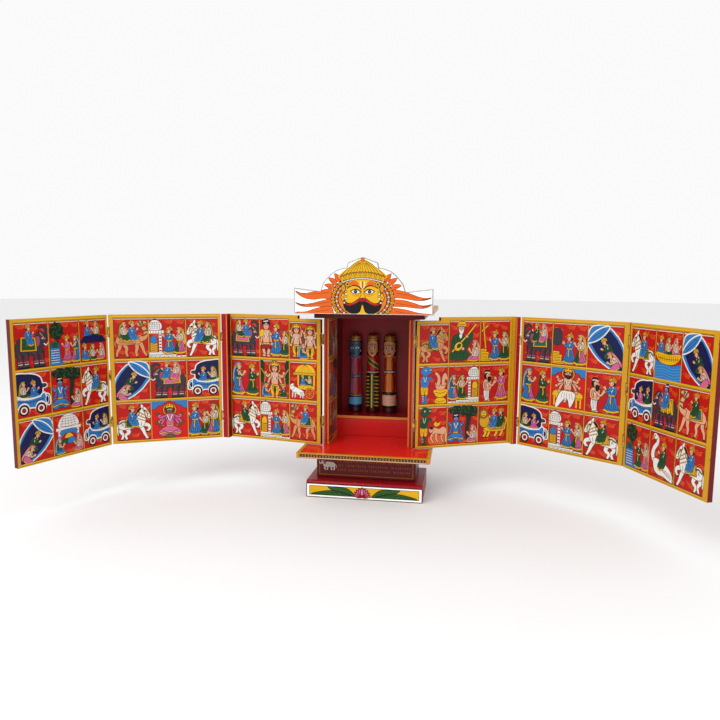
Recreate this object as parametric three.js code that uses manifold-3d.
// Folding storytelling shrine (kavad): a cabinet on a plinth, three turned dolls, six hinged leaves.
// Millimetres, +Z up, the front faces -Y. Origin: centre of the plinth's underside.
import * as THREE from 'three';
import Module from 'manifold-3d';

const wasm = await Module();
wasm.setup();
const { Manifold } = wasm;

// ---- driving dimensions -------------------------------------------------------------------------
const GAP = 0.3; // clearance left between pieces that touch

// plinth and neck
const PLINTH = { halfX: 111, halfY: 63, height: 33, round: 6 };
const NECK = { halfX: 96, front: -38, back: 46 };
const LEDGE_TOP = 92; // top face of the ledge board, the floor of the cabinet
const LEDGE_T = 10;

// cabinet
const FRONT = -16; // plane of the side walls' front edges
const WALL = { inner: 77, outer: 87, height: 247 };
const DEPTH = 144; // inner depth, wall front to back panel
const BACK_T = 8;
const SHELF = { halfX: 125, front: -88, back: 140, corner: 5 }; // ledge and canopy, in plan
const TOP_BOARD = { halfX: 106, thick: 12 };
const CANOPY_T = 9;
const STEP = { front: 65, rise: 42, tread: 6, riser: 8 };

// crest board, nailed on the canopy's front edge
const CREST = {
  thick: 6,
  halfX: 124.5,
  wing: 46, // height of the outer ends
  root: 40, // height where the dome starts
  domeX: 76,
  dome: [[72, 53], [67, 60], [59, 69], [50, 76], [39, 80.5], [28.5, 82.5]],
  step: [26.5, 91],
  peak: 101,
};

// leaves
const LEAF = { width: 205, outerWidth: 188, height: 250, thick: 10, lift: 2 };
const NOTCH = { length: 46, depth: 6.5 }; // clears the top board's overhang
const BATTEN = { left: 12, right: 9, thick: 12 };
const PIVOT = { x: 88, y: FRONT - 4 };
const HINGE_GAP = 2; // from a leaf's end to its hinge axis
const PIVOT_OUT = 0.6; // how far the axis stands in front of the painted faces
const BEHIND = 0.3; // inner leaf's back face, in front of its axis
// angle of each leaf to the cabinet's front, outwards and back positive, as it stands open
const OPEN = { left: [9.9, -26.9, -69.3], right: [25.0, -36.1, -66.4] };

// butt hinges
const HINGE = { knuckle: 1.6, leafLen: 20, plate: 0.75, reach: 8.5, facets: 12 };
const TWO_HINGES = [139, 299];
const THREE_HINGES = [139, 229, 311.5];

// dolls: turned profiles as [radius, height above the step]
const FOOT = 12;
const DOLL_Y = FRONT + 127.5;
const DOLL_FACETS = 20;
const DOLLS = {
  doll_blue_face: {
    x: -46,
    color: 0x3f7f97,
    profile: [
      [12.6, 0], [13.3, 1.2], [13.3, FOOT], [14.4, FOOT + 0.8], [14.4, FOOT + 24], [12.6, FOOT + 26.5],
      [12.1, 72], [11.4, 92], [10.5, 110], [11.6, 114.5], [13.2, 121], [13.4, 134], [12.8, 149],
      [11.6, 152.5], [10.8, 161], [7.5, 165],
    ],
  },
  doll_striped_skirt: {
    x: -9,
    color: 0x9c5b3c,
    profile: [
      [12.8, 0], [13.4, 1.2], [13.8, FOOT], [14.2, FOOT + 4], [13.9, 60], [13.2, 84], [12.6, 98],
      [11.2, 112], [10.2, 116], [11.2, 120], [12.2, 127], [12.2, 140], [11.6, 151], [11.0, 154], [10.6, 163],
      [7.5, 167],
    ],
  },
  doll_orange_robe: {
    x: 27,
    color: 0xc9862f,
    profile: [
      [13.6, 0], [14.4, 1.2], [14.4, FOOT], [15.3, FOOT + 0.8], [15.3, FOOT + 27], [14.0, FOOT + 31],
      [12.9, 60], [11.9, 86], [11.0, 108], [10.8, 113], [12.4, 119], [13.8, 126], [13.9, 138], [13.2, 151],
      [12.0, 154], [11.2, 162], [7.5, 166],
    ],
  },
};

// ---- colours ------------------------------------------------------------------------------------
const paint = (color, roughness = 0.38) => new THREE.MeshStandardMaterial({ color, roughness, metalness: 0 });
const RED = paint(0xb81d1d);
const MAROON = paint(0x5c1016);
const OCHRE = paint(0xd6a128);
const WHITE = paint(0xf1ede4);
const brass = () => new THREE.MeshStandardMaterial({ color: 0xb98a35, roughness: 0.45, metalness: 0.8 });

// ---- shapes -------------------------------------------------------------------------------------
const rig = new THREE.Group();

function place(parent, name, geometry, material, position = [0, 0, 0]) {
  const mesh = new THREE.Mesh(geometry, material.clone());
  mesh.name = name;
  mesh.position.set(...position);
  parent.add(mesh);
  return mesh;
}

// box from its two corners
function board(x0, x1, y0, y1, z0, z1) {
  const g = new THREE.BoxGeometry(Math.abs(x1 - x0), Math.abs(y1 - y0), Math.abs(z1 - z0));
  return g.translate((x0 + x1) / 2, (y0 + y1) / 2, (z0 + z1) / 2);
}

// outline in the XY plane, raised from z0 to z1
function slab(points, z0, z1) {
  const shape = new THREE.Shape(points.map(([x, y]) => new THREE.Vector2(x, y)));
  return new THREE.ExtrudeGeometry(shape, { depth: z1 - z0, bevelEnabled: false }).translate(0, 0, z0);
}

// outline in the XZ plane, with thickness from y0 to y1
function panel(points, y0, y1) {
  const shape = new THREE.Shape(points.map(([x, z]) => new THREE.Vector2(x, z)));
  const g = new THREE.ExtrudeGeometry(shape, { depth: y1 - y0, bevelEnabled: false });
  return g.rotateX(Math.PI / 2).translate(0, y1, 0);
}

function arc(cx, cy, r, from, to, steps) {
  const out = [];
  for (let i = 0; i <= steps; i += 1) {
    const a = THREE.MathUtils.degToRad(from + ((to - from) * i) / steps);
    out.push([cx + r * Math.cos(a), cy + r * Math.sin(a)]);
  }
  return out;
}

// solid of revolution about Z from [radius, height] pairs, closed by a flat foot and top
function turned(profile, facets) {
  const position = [0, 0, profile[0][1]];
  const index = [];
  for (const [r, z] of profile) {
    for (let i = 0; i < facets; i += 1) {
      const a = (2 * Math.PI * i) / facets;
      position.push(r * Math.cos(a), r * Math.sin(a), z);
    }
  }
  const last = profile.length - 1;
  position.push(0, 0, profile[last][1]);
  const top = position.length / 3 - 1;
  const at = (ring, i) => 1 + ring * facets + (i % facets);
  for (let i = 0; i < facets; i += 1) {
    index.push(0, at(0, i + 1), at(0, i));
    for (let ring = 0; ring < last; ring += 1) {
      index.push(at(ring, i), at(ring, i + 1), at(ring + 1, i + 1));
      index.push(at(ring, i), at(ring + 1, i + 1), at(ring + 1, i));
    }
    index.push(top, at(last, i), at(last, i + 1));
  }
  const g = new THREE.BufferGeometry();
  g.setAttribute('position', new THREE.Float32BufferAttribute(position, 3));
  g.setIndex(index);
  g.computeVertexNormals();
  return g;
}

function fromManifold(solid) {
  const mesh = solid.getMesh();
  const g = new THREE.BufferGeometry();
  g.setAttribute('position', new THREE.Float32BufferAttribute(Array.from(mesh.vertProperties), mesh.numProp));
  g.setIndex(Array.from(mesh.triVerts));
  g.computeVertexNormals();
  return g;
}

const cuboid = (x0, x1, y0, y1, z0, z1) =>
  Manifold.cube([Math.abs(x1 - x0), Math.abs(y1 - y0), z1 - z0]).translate([
    Math.min(x0, x1), Math.min(y0, y1), z0,
  ]);
const barrel = (z0, z1) =>
  Manifold.cylinder(z1 - z0, HINGE.knuckle, HINGE.knuckle, HINGE.facets).translate([0, 0, z0]);

// One half of a butt hinge about the Z axis through the origin. side: which way the plate lies along X.
// dir: which way it reaches along Y. The middle knuckle belongs to one half, the end ones to the other.
function hingeHalf(z, side, dir, middle) {
  const half = HINGE.leafLen / 2;
  const cut = HINGE.leafLen / 4;
  const spans = middle ? [[z - cut + 0.15, z + cut - 0.15]] : [[z - half, z - cut - 0.15], [z + cut + 0.15, z + half]];
  const outer = HINGE_GAP - GAP;
  const parts = [
    cuboid(side * (outer - HINGE.plate), side * outer, dir * 2.0, dir * HINGE.reach, z - half, z + half),
  ];
  for (const [a, b] of spans) {
    parts.push(barrel(a, b));
    parts.push(cuboid(0, side * outer, 0, dir * 2.2, a, b));
  }
  return fromManifold(Manifold.union(parts));
}

// the half that is screwed to the outside of a cabinet wall, behind the axis
function wallHalf(z, side) {
  const half = HINGE.leafLen / 2;
  const cut = HINGE.leafLen / 4;
  const inner = WALL.outer + GAP - PIVOT.x; // from the axis, along side
  const face = inner + HINGE.plate;
  const depth = FRONT - PIVOT.y;
  const parts = [cuboid(side * inner, side * face, depth + 1, depth + 11, z - half, z + half)];
  for (const [a, b] of [[z - half, z - cut - 0.15], [z + cut + 0.15, z + half]]) {
    parts.push(barrel(a, b));
    parts.push(cuboid(side * inner, side * face, 0, depth + 2, a, b));
  }
  return fromManifold(Manifold.union(parts));
}

// ---- plinth, neck and cabinet -------------------------------------------------------------------
{
  const { halfX, halfY, height, round } = PLINTH;
  const section = [
    [-halfY, 0], [halfY, 0],
    ...arc(halfY - round, height - round, round, 0, 90, 3),
    ...arc(-halfY + round, height - round, round, 90, 180, 3),
  ];
  const g = slab(section, -halfX, halfX);
  // section was drawn as (y, z) in XY: turn it so that it runs along X
  g.applyMatrix4(new THREE.Matrix4().set(0, 0, 1, 0, 1, 0, 0, 0, 0, 1, 0, 0, 0, 0, 0, 1));
  place(rig, 'plinth', g, RED);
}
const neckTop = LEDGE_TOP - LEDGE_T;
place(rig, 'neck_block',
  board(-NECK.halfX, NECK.halfX, NECK.front, NECK.back, PLINTH.height + GAP, neckTop - GAP), MAROON);

{
  const { halfX, front, back, corner } = SHELF;
  const outline = [
    ...arc(halfX - corner, front + corner, corner, -90, 0, 3),
    [halfX, back], [-halfX, back],
    ...arc(-halfX + corner, front + corner, corner, 180, 270, 3),
  ];
  place(rig, 'ledge_board', slab(outline, neckTop, LEDGE_TOP), RED);
}

const wallTop = LEDGE_TOP + WALL.height;
const backIn = FRONT + DEPTH;
for (const [name, side] of [['left_side_wall', -1], ['right_side_wall', 1]]) {
  place(rig, name,
    board(side * WALL.inner, side * WALL.outer, FRONT, backIn - GAP, LEDGE_TOP + GAP, wallTop), RED);
}
place(rig, 'back_panel',
  board(-WALL.outer, WALL.outer, backIn, backIn + BACK_T, LEDGE_TOP + GAP, wallTop), MAROON);

const canopyLow = wallTop + GAP + TOP_BOARD.thick + GAP;
place(rig, 'top_board',
  board(-TOP_BOARD.halfX, TOP_BOARD.halfX, FRONT, backIn + BACK_T, wallTop + GAP, canopyLow - GAP), MAROON);
place(rig, 'canopy_board',
  board(-SHELF.halfX, SHELF.halfX, SHELF.front + GAP, SHELF.back, canopyLow, canopyLow + CANOPY_T), MAROON);

// step that carries the dolls: a riser board with a tread on it, hollow behind
const stepTop = LEDGE_TOP + STEP.rise;
place(rig, 'step_riser',
  board(-WALL.inner + GAP, WALL.inner - GAP, STEP.front, STEP.front + STEP.riser,
    LEDGE_TOP + GAP, stepTop - STEP.tread - GAP), RED);
place(rig, 'step_tread',
  board(-WALL.inner + GAP, WALL.inner - GAP, STEP.front, backIn - GAP, stepTop - STEP.tread, stepTop), MAROON);

// crest board
{
  const { halfX, wing, root, domeX, dome, step, peak, thick } = CREST;
  const right = [[halfX, 0], [halfX, wing], [domeX, root], ...dome, step];
  const left = right.map(([x, z]) => [-x, z]).reverse();
  const outline = [...right, [0, peak], ...left].map(([x, z]) => [x, z + canopyLow]);
  place(rig, 'crest_board', panel(outline, SHELF.front - thick, SHELF.front), WHITE);
}

for (const [name, doll] of Object.entries(DOLLS)) {
  place(rig, name, turned(doll.profile, DOLL_FACETS), paint(doll.color, 0.3), [doll.x, DOLL_Y, stepTop + GAP]);
}

// ---- leaves -------------------------------------------------------------------------------------
const leafLow = LEDGE_TOP + LEAF.lift;
const leafHigh = leafLow + LEAF.height;
const deg = THREE.MathUtils.degToRad;

for (const [hand, side] of [['left', -1], ['right', 1]]) {
  const [inner, middle, outer] = OPEN[hand];
  const end = HINGE_GAP + LEAF.width;
  const swing = (parent, x, y, angle) => {
    const group = new THREE.Group();
    group.position.set(x, y, 0);
    group.rotation.z = deg(side * angle);
    parent.add(group);
    return group;
  };

  // inner leaf, with its notched top corner, hinged at the cabinet's front corner
  const a = swing(rig, side * PIVOT.x, PIVOT.y, inner);
  const frontA = -(BEHIND + LEAF.thick);
  const outline = [
    [side * HINGE_GAP, leafLow], [side * end, leafLow], [side * end, leafHigh],
    [side * (HINGE_GAP + NOTCH.length), leafHigh], [side * (HINGE_GAP + NOTCH.length), leafHigh - NOTCH.depth],
    [side * HINGE_GAP, leafHigh - NOTCH.depth],
  ];
  if (side < 0) outline.reverse();
  place(a, `${hand}_inner_leaf`, panel(outline, frontA, -BEHIND), OCHRE);
  const frontBatten = frontA - GAP - BATTEN.thick;
  place(a, `${hand}_batten`,
    board(side * (end - BATTEN[hand]), side * end, frontBatten, frontA - GAP, leafLow, leafHigh), RED);

  // middle leaf, hinged on the batten's front outer edge
  const b = swing(a, side * (end + HINGE_GAP), frontBatten - PIVOT_OUT, middle - inner);
  place(b, `${hand}_middle_leaf`,
    board(side * HINGE_GAP, side * end, PIVOT_OUT, PIVOT_OUT + LEAF.thick, leafLow, leafHigh), OCHRE);

  // outer leaf, a little narrower so that it folds in beside the batten
  const c = swing(b, side * (end + HINGE_GAP), 0, outer - middle);
  place(c, `${hand}_outer_leaf`,
    board(side * HINGE_GAP, side * (HINGE_GAP + LEAF.outerWidth), PIVOT_OUT, PIVOT_OUT + LEAF.thick,
      leafLow, leafHigh), OCHRE);

  // hinges: on the wall and the inner leaf's end, then on the facing ends of the leaves
  TWO_HINGES.forEach((z, i) => {
    place(rig, `${hand}_inner_hinge_${i + 1}_wall_half`, wallHalf(z, side), brass(),
      [side * PIVOT.x, PIVOT.y, 0]);
    place(a, `${hand}_inner_hinge_${i + 1}_leaf_half`, hingeHalf(z, side, -1, true), brass());
    place(a, `${hand}_middle_hinge_${i + 1}_batten_half`, hingeHalf(z, -side, 1, false), brass(),
      [side * (end + HINGE_GAP), frontBatten - PIVOT_OUT, 0]);
    place(b, `${hand}_middle_hinge_${i + 1}_leaf_half`, hingeHalf(z, side, 1, true), brass());
  });
  THREE_HINGES.forEach((z, i) => {
    place(b, `${hand}_outer_hinge_${i + 1}_middle_half`, hingeHalf(z, -side, 1, false), brass(),
      [side * (end + HINGE_GAP), 0, 0]);
    place(c, `${hand}_outer_hinge_${i + 1}_outer_half`, hingeHalf(z, side, 1, true), brass());
  });
}

export default rig;
